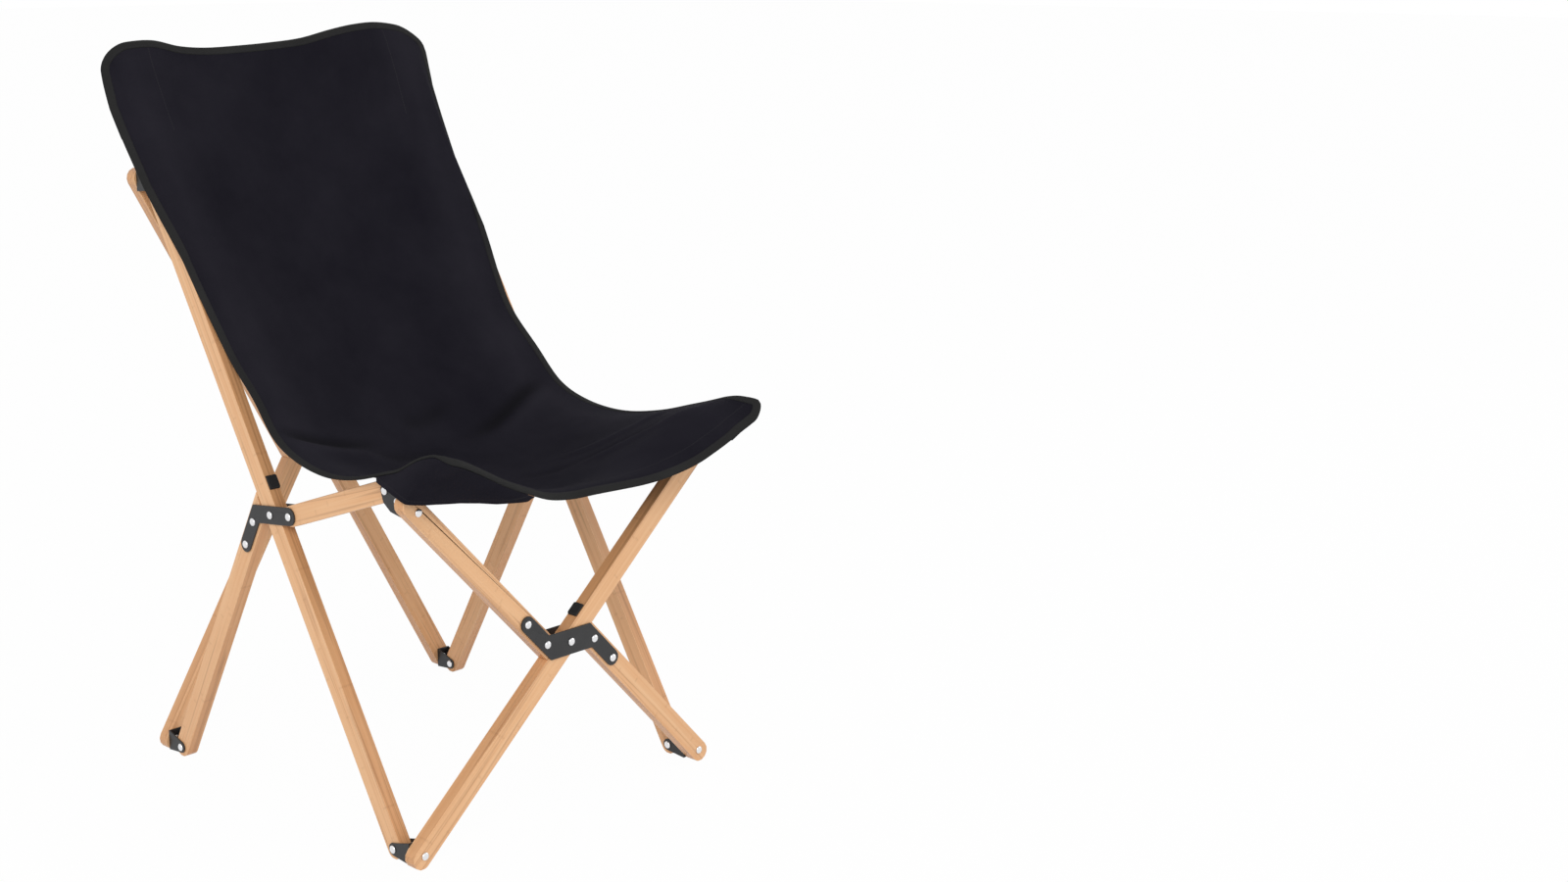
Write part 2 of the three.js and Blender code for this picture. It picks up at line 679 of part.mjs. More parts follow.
// Pocket under a front corner: its front hangs from the sling's front edge down to a hem on
// the outer faces of the front bars, and its side returns along the sling's side edge.
function frontPocketSurface(outward) {
  const outerFace = hingeHalfDepth + frontEarToBase + seatGap + barThickness;
  const hemDepth = outerFace + seatGap + clothThickness / 2;
  const innerShare = 1 - frontPocketWidth / slingHalfWidth;
  const returnShare = frontPocketReturn / sideEdge.getLength();
  const under = (point) => point.setZ(point.z - frontPocketDrop);
  const hemHeight = frontHingeHeight + frontPocketHemRise;
  const hemCorner = under(slingPoint(1, 1)).setY(-hemDepth).setZ(hemHeight);
  return (across, down) => {
    const front = Math.min(1, across / frontPocketTurnShare);
    const back = Math.max(0, across - frontPocketTurnShare) / (1 - frontPocketTurnShare);
    const edge = under(slingPoint(
      THREE.MathUtils.lerp(innerShare, 1, front), 1 - back * returnShare,
    ));
    const depth = THREE.MathUtils.lerp(-hemDepth, edge.y, Math.sqrt(1 - front));
    const tail = edge.clone().setZ(edge.z - frontPocketTailDrop);
    const hem = tail.clone().setY(depth).setZ(Math.min(hemHeight, tail.z));
    if (back > 0) hem.lerpVectors(hemCorner, tail, back);
    const point = edge.lerp(hem, down);
    point.x *= outward;
    return point;
  };
}

const chair = new THREE.Group();
chair.add(sideFrame('left', -1));
chair.add(sideFrame('right', 1));

const frontBars = crossFrame(
  'front', 1, crossPivotRise + footPivotHeight, frontHingeHeight, footPivotHeight,
  frontTopOverrun, false,
);
frontBars.position.y = -(hingeHalfDepth + frontEarToBase + seatGap + barThickness / 2);
chair.add(frontBars);

const barMiddleDepth = backEarToBase + seatGap + barThickness / 2;
const capRise = (barMiddleDepth + barThickness / 2) * Math.tan(backLean);
const backGroup = new THREE.Group();
backGroup.position.set(0, sideBackFoot.x, sideBackFoot.y);
backGroup.rotation.x = -backLean;
const backBars = crossFrame(
  'back', -1, crossPivotRise, backHingeSpan + crossPivotRise, capRise, backTopOverrun, true,
);
backBars.position.y = barMiddleDepth;
backGroup.add(backBars);
chair.add(backGroup);

for (const [side, outward] of [['left', -1], ['right', 1]]) {
  const x = outward * hingeHalfWidth;
  const lowerFront = cornerBracket(
    `front_${side}_lower_bracket`, -outward, frontEarToBase, crossPivotRise, false, false,
  );
  lowerFront.position.set(x, sideFoot.x, sideFoot.y);
  lowerFront.rotation.z = Math.PI;
  chair.add(lowerFront);
  const upperFront = cornerBracket(
    `front_${side}_upper_bracket`, -outward, frontEarToBase, -frontEarRise, true, true,
  );
  upperFront.position.set(x, frontEar.x, frontEar.y);
  upperFront.rotation.z = Math.PI;
  chair.add(upperFront);
  const lowerBack = cornerBracket(
    `back_${side}_lower_bracket`, outward, backEarToBase, crossPivotRise, false, false,
  );
  lowerBack.position.set(x, 0, 0);
  backGroup.add(lowerBack);
  const upperBack = cornerBracket(
    `back_${side}_upper_bracket`, outward, backEarToBase, crossPivotRise, false, false,
  );
  upperBack.position.set(x, 0, backHingeSpan);
  backGroup.add(upperBack);
  const mirrored = (surface) => (u, v) => surface(outward > 0 ? 1 - u : u, v);
  const topPocket = mirrored(topPocketSurface(outward));
  const frontPocket = mirrored(frontPocketSurface(outward));
  chair.add(piece(
    `sling_${side}_top_pocket`,
    sheetSolid(topPocket, topPocketColumns, topPocketRows, clothThickness),
    'canvas',
  ));
  chair.add(piece(
    `sling_${side}_front_pocket`,
    sheetSolid(frontPocket, frontPocketColumns, frontPocketRows, clothThickness),
    'canvas',
  ));
}

chair.add(piece(
  'sling',
  sheetSolid((u, v) => slingPoint(2 * u - 1, v), slingColumns, slingRows, clothThickness),
  'canvas',
));

// Brings the middle of the overall depth over the origin.
const overall = new THREE.Box3().setFromObject(chair);
chair.position.y = -(overall.min.y + overall.max.y) / 2;

export default chair;
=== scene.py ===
import json
import math

import bpy
import numpy as np
from mathutils import Matrix, Vector

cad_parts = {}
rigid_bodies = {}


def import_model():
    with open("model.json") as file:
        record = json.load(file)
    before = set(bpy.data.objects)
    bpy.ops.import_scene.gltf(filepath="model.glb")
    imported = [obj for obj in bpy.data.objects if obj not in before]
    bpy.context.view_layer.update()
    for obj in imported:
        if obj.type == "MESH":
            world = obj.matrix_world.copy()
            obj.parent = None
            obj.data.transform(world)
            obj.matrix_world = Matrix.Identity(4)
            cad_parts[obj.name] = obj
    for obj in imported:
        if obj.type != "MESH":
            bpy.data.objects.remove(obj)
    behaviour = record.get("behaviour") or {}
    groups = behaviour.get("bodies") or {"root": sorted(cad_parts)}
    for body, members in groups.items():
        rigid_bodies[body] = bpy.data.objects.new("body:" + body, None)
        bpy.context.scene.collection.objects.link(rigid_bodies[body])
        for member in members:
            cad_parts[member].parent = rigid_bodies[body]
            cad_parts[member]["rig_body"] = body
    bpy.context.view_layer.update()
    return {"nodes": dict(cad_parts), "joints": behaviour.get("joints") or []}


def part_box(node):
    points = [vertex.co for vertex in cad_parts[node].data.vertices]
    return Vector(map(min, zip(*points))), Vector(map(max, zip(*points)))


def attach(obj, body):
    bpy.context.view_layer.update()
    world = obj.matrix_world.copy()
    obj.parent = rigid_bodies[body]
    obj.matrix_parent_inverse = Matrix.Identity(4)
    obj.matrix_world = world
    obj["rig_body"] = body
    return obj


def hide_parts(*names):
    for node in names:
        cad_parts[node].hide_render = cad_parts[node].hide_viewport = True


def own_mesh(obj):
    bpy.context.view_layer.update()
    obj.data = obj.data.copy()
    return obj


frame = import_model()
nodes = frame["nodes"]
pivots = {joint["name"]: Vector(joint["pos_m"]) for joint in frame["joints"]}
pivot_axes = {joint["name"]: Vector(joint["axis"]).normalized() for joint in frame["joints"]}


# Camera
# It stands in front of the chair and to its left, at about the height of a seated person's
# eyes, and looks slightly down across the front left leg.

camera_place = (-1.5827, -1.9035, 1.0037)
camera_turn = math.radians(-44.31)
camera_rise = math.radians(13.498)
film_width = 36
lens_length = 47.3
sideways_shift = 0.125
camera_data = bpy.data.cameras.new("camera")
camera_data.sensor_width = film_width
camera_data.lens = lens_length
camera_data.shift_x = sideways_shift
camera = bpy.data.objects.new("camera", camera_data)
bpy.context.scene.collection.objects.link(camera)
backward = Vector((
    math.sin(camera_turn) * math.cos(camera_rise),
    -math.cos(camera_turn) * math.cos(camera_rise),
    math.sin(camera_rise),
))
camera.location = camera_place
camera.rotation_mode = "QUATERNION"
camera.rotation_quaternion = (-backward).to_track_quat("-Z", "Y")
bpy.context.scene.camera = camera
bpy.context.scene.view_settings.view_transform = "Standard"


# Studio
# A white sweep without a visible edge, lit by a large soft box high on the camera's left
# and a weaker one on the right. The sweep and the air around it read as plain white.

class Shade:
    """A socket of a shader. Its operators add Math nodes and node() adds any other node."""

    def __init__(self, tree, socket=None):
        self.tree = tree
        self.socket = socket

    def node(self, kind, settings=(), inputs=(), output=0):
        """Adds a node: its kind, its settings, and the values or sockets that feed its inputs."""
        made = self.tree.nodes.new("ShaderNode" + kind)
        for name, value in dict(settings).items():
            if name == "stops":
                ramp = made.color_ramp
                while len(ramp.elements) < len(value):
                    ramp.elements.new(1.0)
                for stop, (place, tone) in zip(ramp.elements, value):
                    stop.position = place
                    stop.color = (tone, tone, tone, 1.0)
            else:
                setattr(made, name, value)
        for name, value in dict(inputs).items():
            if isinstance(value, Shade):
                self.tree.links.new(value.socket, made.inputs[name])
            else:
                made.inputs[name].default_value = value
        return Shade(self.tree, made.outputs[output] if made.outputs else None)

    def __add__(self, other):
        return math_node("ADD", self, other)

    def __sub__(self, other):
        return math_node("SUBTRACT", self, other)

    def __rsub__(self, other):
        return math_node("SUBTRACT", other, self)

    def __mul__(self, other):
        return math_node("MULTIPLY", self, other)

    def __truediv__(self, other):
        return math_node("DIVIDE", self, other)

    def __rtruediv__(self, other):
        return math_node("DIVIDE", other, self)

    __radd__ = __add__
    __rmul__ = __mul__


def math_node(operation, *values):
    """Math node on sockets and numbers, of which at least one is a socket."""
    shade = next(value for value in values if isinstance(value, Shade))
    return shade.node("Math", {"operation": operation}, dict(enumerate(values)))


def new_material(name):
    material = bpy.data.materials.new(name)
    material.use_nodes = True
    material.node_tree.nodes.clear()
    return material, Shade(material.node_tree)


def seen_directly(shade):
    """1 for what the camera sees, straight or in a polished surface."""
    straight = shade.node("LightPath", output="Is Camera Ray")
    mirrored = shade.node("LightPath", output="Is Glossy Ray")
    through = shade.node("LightPath", output="Is Transmission Ray")
    return math_node("MAXIMUM", math_node("MAXIMUM", straight, mirrored), through)


white = (1.0, 1.0, 1.0, 1.0)
air_light = 0.62
air = bpy.data.worlds.new("studio_air")
air.use_nodes = True
air.node_tree.nodes.clear()
shade = Shade(air.node_tree)
dim = shade.node("Background", (), {"Color": white, "Strength": air_light})
bright = shade.node("Background", (), {"Color": white, "Strength": 1.0})
seen = shade.node("MixShader", (), {0: seen_directly(shade), 1: dim, 2: bright})
shade.node("OutputWorld", (), {"Surface": seen})
bpy.context.scene.world = air

sweep_size = 60.0
sweep_drop = 0.0004
sweep_tone = (0.9, 0.9, 0.9, 1.0)
sweep_glow = 0.975
sweep_mesh = bpy.data.meshes.new("studio_floor")
half = sweep_size / 2
sweep_mesh.from_pydata(
    [(-half, -half, -sweep_drop), (half, -half, -sweep_drop),
     (half, half, -sweep_drop), (-half, half, -sweep_drop)],
    [], [(0, 1, 2, 3)],
)
sweep = bpy.data.objects.new("studio_floor", sweep_mesh)
bpy.context.scene.collection.objects.link(sweep)
material, shade = new_material("white_floor")
paper = shade.node("BsdfDiffuse", (), {"Color": sweep_tone})
glow = shade.node("Emission", (), {"Color": white, "Strength": 1.0})
covered = shade.node("MixShader", (), {0: seen_directly(shade) * sweep_glow, 1: paper, 2: glow})
shade.node("OutputMaterial", (), {"Surface": covered})
sweep_mesh.materials.append(material)


def soft_box(name, place, aim, size, power):
    """Square area light that faces its aim."""
    lamp = bpy.data.lights.new(name, "AREA")
    lamp.size = size
    lamp.energy = power
    box = bpy.data.objects.new(name, lamp)
    bpy.context.scene.collection.objects.link(box)
    box.location = place
    box.rotation_mode = "QUATERNION"
    box.rotation_quaternion = (Vector(aim) - Vector(place)).to_track_quat("-Z", "Y")


seat_middle = (0.0, 0.0, 0.45)
key_place = (-2.7, -2.6, 2.6)
key_size = 1.8
key_watts = 66.0
fill_place = (3.0, -1.6, 1.6)
fill_size = 2.2
fill_watts = 16.0
soft_box("key_light", key_place, seat_middle, key_size, key_watts)
soft_box("fill_light", fill_place, seat_middle, fill_size, fill_watts)


# Bamboo bars
# Twelve flat bars, 25 by 16 mm, sawn from laminated bamboo with the fibres along each bar. The
# edges are eased, the ends are rounded off, and a clear satin lacquer warms the pale wood.

across_chair = Vector((1.0, 0.0, 0.0))
bar_thickness = 0.016
edge_ease = 0.0014
steps_of_ease = 3
sharp_angle = math.radians(40)
closing_reach = 0.00001
straw = (0.93, 0.595, 0.335, 1.0)
honey = (0.78, 0.395, 0.175, 1.0)
grain_brown = (0.43, 0.20, 0.085, 1.0)
knot_brown = (0.36, 0.16, 0.06, 1.0)
edge_tint = (0.84, 0.76, 0.68, 1.0)
strip_width = 0.0063
knot_pitch = 0.145
fibre_length = 0.16
fibre_width = 0.0011
streak_length = 0.30
streak_width = 0.0042
figure_length = 0.42
figure_width = 0.0085
cloud_length = 0.09
cloud_width = 0.03
seed_step = 0.37


def ease_edges(piece, width, steps):
    """Rounds a made piece's sharp edges with a bevel, after closing its split corners."""
    weld = piece.modifiers.new("closed_corners", "WELD")
    weld.merge_threshold = closing_reach
    bevel = piece.modifiers.new("eased_edges", "BEVEL")
    bevel.width = width
    bevel.segments = steps
    bevel.limit_method = "ANGLE"
    bevel.angle_limit = sharp_angle
    bevel.miter_outer = "MITER_ARC"


def finish_node(piece, material):
    """Gives a made piece one finish all over."""
    piece.data.materials.clear()
    piece.data.materials.append(material)


def grain_frame(piece, through):
    """Turn and shift that lay a bar on the origin, its length along X and its thickness along Z."""
    points = np.array([vertex.co for vertex in piece.data.vertices])
    through = np.array(through)
    run = np.linalg.svd(points - points.mean(axis=0), full_matrices=False)[2][0]
    run = run - through * (run @ through)
    run /= np.linalg.norm(run)
    rows = np.array([run, np.cross(through, run), through])
    places = points @ rows.T
    middle = (places.min(axis=0) + places.max(axis=0)) / 2
    return Matrix(rows.tolist()).to_euler(), tuple(-middle)


def part_of(vector, axis):
    """One of a vector's three numbers."""
    return vector.node("SeparateXYZ", (), {0: vector}, output=axis)


def graded(value, *stops):
    """Tone of a value on a scale of stops, each a place and its tone."""
    return value.node("ValToRGB", {"stops": stops}, {"Fac": value})


def noise(place, scale, detail, **more):
    return place.node("TexNoise", (), {"Vector": place, "Scale": scale, "Detail": detail, **more})


def mix_colour(factor, low, high):
    return factor.node("Mix", {"data_type": "RGBA"}, {0: factor, 6: low, 7: high}, output=2)


def finish_surface(shade, looks, relief, strength, depth):
    """Ends a material with its one surface, roughened by a fine relief."""
    normal = relief.node("Bump", (), {"Height": relief, "Strength": strength, "Distance": depth})
    surface = shade.node("BsdfPrincipled", (), {**looks, "Normal": normal})
    shade.node("OutputMaterial", (), {"Surface": surface})


def bamboo(name, turn, shift, seed):
    """Lacquered bamboo of one bar, cut from its own place in the plank."""
    material, shade = new_material(name)
    place = shade.node("TexCoord", output="Object")
    local = shade.node("Mapping", (), {"Vector": place, "Rotation": turn, "Location": shift})
    depth = part_of(local, "Z") / (bar_thickness / 2)
    wide_face = graded(math_node("ABSOLUTE", depth), (0.86, 0.0), (0.93, 1.0))
    shifted = {0: local, 1: (seed, seed * 0.3, seed * 0.7)}
    moved = shade.node("VectorMath", {"operation": "ADD"}, shifted)

    def stretched(length, width, detail, distortion=0.0):
        scale = (1 / length, 1 / width, 1 / width)
        vector = shade.node("VectorMath", {"operation": "MULTIPLY"}, {0: moved, 1: scale})
        return noise(vector, 1.0, detail, Roughness=0.55, Distortion=distortion)

    fibres = stretched(fibre_length, fibre_width, 4.0)
    streaks = stretched(streak_length, streak_width, 3.0, 0.5)
    figure = stretched(figure_length, figure_width, 2.0, 0.9)
    clouds = stretched(cloud_length, cloud_width, 2.0)
    strip = math_node("FLOOR", part_of(local, "Y") / strip_width)
    numbered = shade.node("CombineXYZ", (), {0: strip, 1: seed})
    strip_tone = shade.node("TexWhiteNoise", {"noise_dimensions": "3D"}, {"Vector": numbered})
    past_knot = math_node("FRACT", part_of(local, "X") / knot_pitch + strip_tone * 0.8)
    knot = graded(past_knot, (0.0, 0.0), (0.485, 0.0), (0.5, 1.0), (0.515, 0.0), (1.0, 0.0))
    vein = graded(figure, (0.56, 0.0), (0.63, 1.0), (0.70, 0.25))
    warmth = fibres * 0.55 + streaks * 0.9 + strip_tone * 0.14 + clouds * 0.4 - 0.47
    wood = mix_colour(shade.node("Clamp", (), {0: warmth}), straw, honey)
    wood = mix_colour(vein * fibres * 0.95, wood, grain_brown)
    wood = mix_colour(knot * 0.35 * streaks, wood, knot_brown)
    multiplied = {"data_type": "RGBA", "blend_type": "MULTIPLY"}
    edge_wood = shade.node("Mix", multiplied, {0: 1.0, 6: wood, 7: edge_tint}, output=2)
    looks = {
        "Base Color": mix_colour(wide_face, edge_wood, wood), "Roughness": fibres * 0.16 + 0.36,
        "Coat Weight": 0.18, "Coat Roughness": 0.28, "Specular IOR Level": 0.4,
    }
    finish_surface(shade, looks, fibres * 0.7 + vein * -0.3 + knot * 0.4, 0.16, 0.0006)
    return material


thickness_axes = {
    "left": across_chair, "right": across_chair,
    "front": Vector((0.0, 1.0, 0.0)), "back": pivot_axes["back_scissor"],
}
bars = sorted(name for name in nodes if name.endswith("_bar"))
for count, name in enumerate(bars):
    bar = nodes[name]
    through = thickness_axes[name.split("_")[0]]
    finish_node(bar, bamboo("bamboo_of_" + name, *grain_frame(bar, through), seed_step * count))
    ease_edges(bar, edge_ease, steps_of_ease)


# Joining plates
# Pairs of stamped 2 mm steel plates carry the half bars past the long ones at each crossing.
# They are powder coated satin black and held by domed rivets through plate and bar.

plate_ease = 0.0005
steps_of_small_ease = 2
coat_black = (0.011, 0.0112, 0.0125, 1.0)
coat_worn = (0.03, 0.03, 0.032, 1.0)


def powder_coat():
    """Satin black powder coat, rubbed a little greyer in patches."""
    material, shade = new_material("black_powder_coat")
    place = shade.node("TexCoord", output="Object")
    cloud = noise(place, 55.0, 3.0)
    lightened = graded(cloud, (0.4, 0.0), (0.75, 1.0))
    looks = {
        "Base Color": mix_colour(lightened * 0.35, coat_black, coat_worn),
        "Roughness": cloud * 0.12 + 0.36, "Specular IOR Level": 0.5,
    }
    finish_surface(shade, looks, noise(place, 1900.0, 2.0), 0.12, 0.0002)
    return material


black_coat = powder_coat()
for name in sorted(nodes):
    if name.endswith("_plate"):
        finish_node(nodes[name], black_coat)
        ease_edges(nodes[name], plate_ease, steps_of_small_ease)

rivet_silver = (0.86, 0.86, 0.87, 1.0)
rivet_dull = (0.62, 0.62, 0.64, 1.0)


def zinc_plate():
    """Bright zinc with a dull blush and fine scratches."""
    material, shade = new_material("zinc_plated_rivet")
    place = shade.node("TexCoord", output="Object")
    scratches = noise(place, 1400.0, 3.0)
    blush = noise(place, 160.0, 2.0)
    looks = {
        "Base Color": mix_colour(blush * 0.5, rivet_silver, rivet_dull),
        "Metallic": 1.0, "Roughness": scratches * 0.14 + 0.24,
    }
    finish_surface(shade, looks, scratches, 0.08, 0.0001)
    return material


zinc = zinc_plate()
head_radius = 0.0048
head_height = 0.0024
head_lip = 0.0004
sides_of_rivet = 28
dome_steps = 6
on_axis = 1e-6


def head_profile(base, rise):
    """Radius and height pairs of a domed head, from its rim to its crown."""
    lip = math.copysign(head_lip, rise)
    profile = [(head_radius, base), (head_radius, base + lip)]
    for step in range(1, dome_steps + 1):
        angle = math.pi / 2 * step / dome_steps
        profile.append((head_radius * math.cos(angle), base + lip + (rise - lip) * math.sin(angle)))
    return profile


def turned(name, profile, centre, axis, material):
    """Solid turned about an axis, from pairs of radius and place along it."""
    turn = axis.to_track_quat("Z", "Y").to_matrix()
    points = []
    faces = []
    rings = []
    for radius, along in profile:
        ring = []
        if radius < on_axis:
            ring = [len(points)] * sides_of_rivet
            points.append(centre + axis * along)
        else:
            for side in range(sides_of_rivet):
                angle = 2 * math.pi * side / sides_of_rivet
                offset = turn @ Vector((radius * math.cos(angle), radius * math.sin(angle), 0.0))
                ring.append(len(points))
                points.append(centre + offset + axis * along)
        rings.append(ring)
    for lower, upper in zip(rings, rings[1:]):
        for side in range(sides_of_rivet):
            after = (side + 1) % sides_of_rivet
            corners = [lower[side], lower[after], upper[after], upper[side]]
            faces.append(tuple(dict.fromkeys(corners)))
    mesh = bpy.data.meshes.new(name)
    mesh.from_pydata(points, [], faces)
    mesh.validate()
    for polygon in mesh.polygons:
        polygon.use_smooth = True
    mesh.materials.append(material)
    piece = bpy.data.objects.new(name, mesh)
    bpy.context.scene.collection.objects.link(piece)
    return piece


def lone_head(name, place, out, body, rise=head_height):
    """Domed head that stands on a face, without the rest of its rivet."""
    profile = [(0.0, 0.0), (head_radius, 0.0)] + head_profile(0.0, rise)
    head = turned(name, profile, place, out, zinc)
    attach(head, body)


plate_thickness = 0.002
seat_gap = 0.0003
offset_bar_shift = 0.0238
first_rivet_reach = 0.030
cross_rivet_pitch = 0.0438
side_rivet_pitch = 0.0347
plate_face = bar_thickness / 2 + seat_gap + plate_thickness


def half_bar_rivets(crossing, ends, normal, pitch):
    """Centres of the rivets that fix a crossing's offset half bars, two to each bar."""
    centres = []
    for end in ends:
        turn = Matrix.Rotation(-math.asin(offset_bar_shift / (end - crossing).length), 3, normal)
        run = turn @ (end - crossing).normalized()
        near = crossing + normal.cross(run) * offset_bar_shift
        centres += [near + run * first_rivet_reach, near + run * (first_rivet_reach + pitch)]
    return centres


def plate_rivets(name, places, axis, body):
    """Domed heads on both faces of a pair of plates, one pair of heads for each place."""
    for count, place in enumerate(places, 1):
        for face, out in (("front", axis), ("rear", -axis)):
            head_name = f"{name}_rivet_{count}_{face}"
            lone_head(head_name, place + out * plate_face, out, body, head_height + seat_gap)


out_of_front = Vector((0.0, -1.0, 0.0))
out_of_back = pivot_axes["back_scissor"]
front_ends = [pivots["front_left_top_swing"], pivots["front_right_foot_swing"]]
front_places = half_bar_rivets(pivots["front_scissor"], front_ends, out_of_front, cross_rivet_pitch)
plate_rivets("front_plate", front_places, out_of_front, "front_halves")
back_right_foot = pivots["back_left_foot_swing"] * Vector((-1.0, 1.0, 1.0))
back_ends = [pivots["back_scissor"] * 2 - back_right_foot, back_right_foot]
back_places = half_bar_rivets(pivots["back_scissor"], back_ends, -out_of_back, cross_rivet_pitch)
plate_rivets("back_plate", back_places, out_of_back, "back_halves")
for side in ("left", "right"):
    side_ends = [pivots[f"back_{side}_foot_hinge"]]
    places = half_bar_rivets(pivots[side + "_scissor"], side_ends, across_chair, side_rivet_pitch)
    plate_rivets(side + "_plate", places, across_chair, side + "_lower")


# Pivot rivets
# Every crossing and every corner turns on a zinc plated steel rivet with a domed head at each
# end. It is drawn through the bar and its plates or bracket, and left just free to turn.

made_head_height = 0.0022
shank_radius = 0.0030
end_reach = 0.0002
crown_radius = 0.001


def through_rivet(name, axis):
    """Smooth rivet in the place of a made one, with a head wherever that has one."""
    node = nodes[name]
    points = [vertex.co for vertex in node.data.vertices]
    middle = sum(points, Vector()) / len(points)
    reaches = [(point - middle).dot(axis) for point in points]
    low, high = min(reaches), max(reaches)

    def has_head(end):
        at_end = [point - middle for point, reach in zip(points, reaches) if abs(reach - end) < end_reach]
        return all((point - axis * point.dot(axis)).length < crown_radius for point in at_end)

    profile = [(0.0, low), (shank_radius, low)]
    if has_head(low):
        base = low + made_head_height
        profile = head_profile(base, -head_height)[::-1] + [(shank_radius, base)]
    if has_head(high):
        base = high - made_head_height
        profile += [(shank_radius, base)] + head_profile(base, head_height)
    else:
        profile += [(shank_radius, high), (0.0, high)]
    rivet = turned(name + "_domed", profile, middle, axis, zinc)
    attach(rivet, node["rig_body"])
    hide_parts(name)


side_rivet_endings = ("_side_rivet", "_link_pivot", "left_scissor_pivot", "right_scissor_pivot")
for name in sorted(nodes):
    if name.endswith(side_rivet_endings):
        through_rivet(name, across_chair)
    elif name.endswith(("_cross_rivet", "_pivot")):
        through_rivet(name, out_of_front if name.startswith("front") else out_of_back)


# Corner brackets
# Eight folded brackets of 1.6 mm sheet steel join a cross bar's end to a side bar's end. Their
# base lies on the cross bar and their two ears hold the side bar, each riveted through. The
# coat is the plates'.

bracket_ease = 0.0004
for name in sorted(nodes):
    if name.endswith("_bracket"):
        finish_node(nodes[name], black_coat)
        ease_edges(nodes[name], bracket_ease, steps_of_small_ease)

# The heads on the inner faces of five ears, whose rivets are made as stubs, and those of the
# second rivets in the front upper brackets.
bracket_sheet = 0.0016
back_ear_to_base = 0.0265
for corner in ("left_upper", "right_upper", "right_lower"):
    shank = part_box(f"back_{corner}_cross_rivet")
    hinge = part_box(f"back_{corner}_bracket_side_rivet")
    middle = (shank[0] + shank[1]) / 2
    depth = (middle - (hinge[0] + hinge[1]) / 2).dot(out_of_back)
    place = middle + out_of_back * (math.copysign(back_ear_to_base - bracket_sheet, depth) - depth)
    inward = out_of_back * -math.copysign(1.0, depth)
    lone_head(f"back_{corner}_inner_head", place, inward, nodes[f"back_{corner}_bracket"]["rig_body"])

second_rivet_out = 0.0212
second_rivet_drop = 0.0086
for side, way in (("left", -1.0), ("right", 1.0)):
    low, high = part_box(f"front_{side}_upper_bracket")
    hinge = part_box(f"front_{side}_upper_bracket_side_rivet")
    body = f"front_{side}_top"
    out = across_chair * way
    outer, inner = (low.x, high.x) if way < 0 else (high.x, low.x)
    centre = (hinge[0] + hinge[1]) / 2
    second = Vector((outer, centre.y - second_rivet_out, centre.z - second_rivet_drop))
    lone_head(f"front_{side}_upper_second_rivet", second, out, body)
    lone_head(f"front_{side}_upper_inner_head", Vector((inner, centre.y, centre.z)), -out, body)


# Rubber pads
# A small moulded pad is glued on the upper edge of each long bar beside its crossing. It takes
# the other bar when the chair is folded, and it is matt black.

pad_black = (0.012, 0.012, 0.012, 1.0)
pad_ease = 0.0006


def moulded_rubber():
    """Matt rubber with a moulded skin and some dust."""
    material, shade = new_material("moulded_rubber")
    place = shade.node("TexCoord", output="Object")
    dust = noise(place, 120.0, 2.0)
    looks = {
        "Base Color": mix_colour(dust * 0.4, pad_black, coat_worn),
        "Roughness": dust * 0.1 + 0.72, "Specular IOR Level": 0.3,
    }
    finish_surface(shade, looks, noise(place, 900.0, 2.0), 0.25, 0.0002)
    return material


rubber = moulded_rubber()
for name in sorted(nodes):
    if name.endswith("_pad"):
        finish_node(nodes[name], rubber)
        ease_edges(nodes[name], pad_ease, steps_of_small_ease)


# Sling
# One broad panel of heavy black cotton canvas. Its upper corners hang on the two long bars and
# its front corners on the top ends of the front bars, so it sags between its side edges.

half_width = 0.252
top_margin = 0.034
pole_over_hinge = 0.141
bearing_margin = 0.006
sag_blend_share = 0.35
bearing_round = 0.1
front_release_share = 0.9
front_lip_width = 0.017
front_lip_drop = 0.007
direction_share = 0.004
least_overhang = 0.002
canvas_thickness = 0.0016
corner_round_share = 0.155
corner_drop_share = 0.033
front_round_share = 0.07
front_drop_share = 0.014
hinge_half_width = pivots["right_scissor"].x
bar_outer_face = hinge_half_width + bar_thickness / 2
bar_inner_face = hinge_half_width - bar_thickness / 2
front_hinge_height = pivots["front_left_top_swing"].z
side_pivot = (pivots["left_scissor"] + pivots["right_scissor"]) / 2
long_bar_run = (pivots["left_scissor"] - pivots["fold"]).normalized()
behind_poles = np.array((0.0, long_bar_run.z, -long_bar_run.y))
pole_top = pivots["back_left_top_hinge"] + long_bar_run * pole_over_hinge
sling_rise = pole_top.z + top_margin - side_pivot.z
pole_depth = pole_top.y - side_pivot.y
middle_line_shares = [
    (0.998, 1.002), (0.867, 0.825), (0.723, 0.632), (0.534, 0.431), (0.296, 0.242),
    (0.000, 0.098), (-0.235, 0.044), (-0.504, 0.033), (-0.756, 0.052), (-1.009, 0.078),
]
side_edge_shares = [
    (1.006, 0.994), (0.876, 0.873), (0.743, 0.748), (0.609, 0.623), (0.485, 0.507),
    (0.393, 0.421), (0.284, 0.334), (0.131, 0.254), (-0.015, 0.174), (-0.166, 0.141),
    (-0.368, 0.130), (-0.570, 0.147), (-0.771, 0.181), (-0.973, 0.215), (-1.126, 0.227),
]

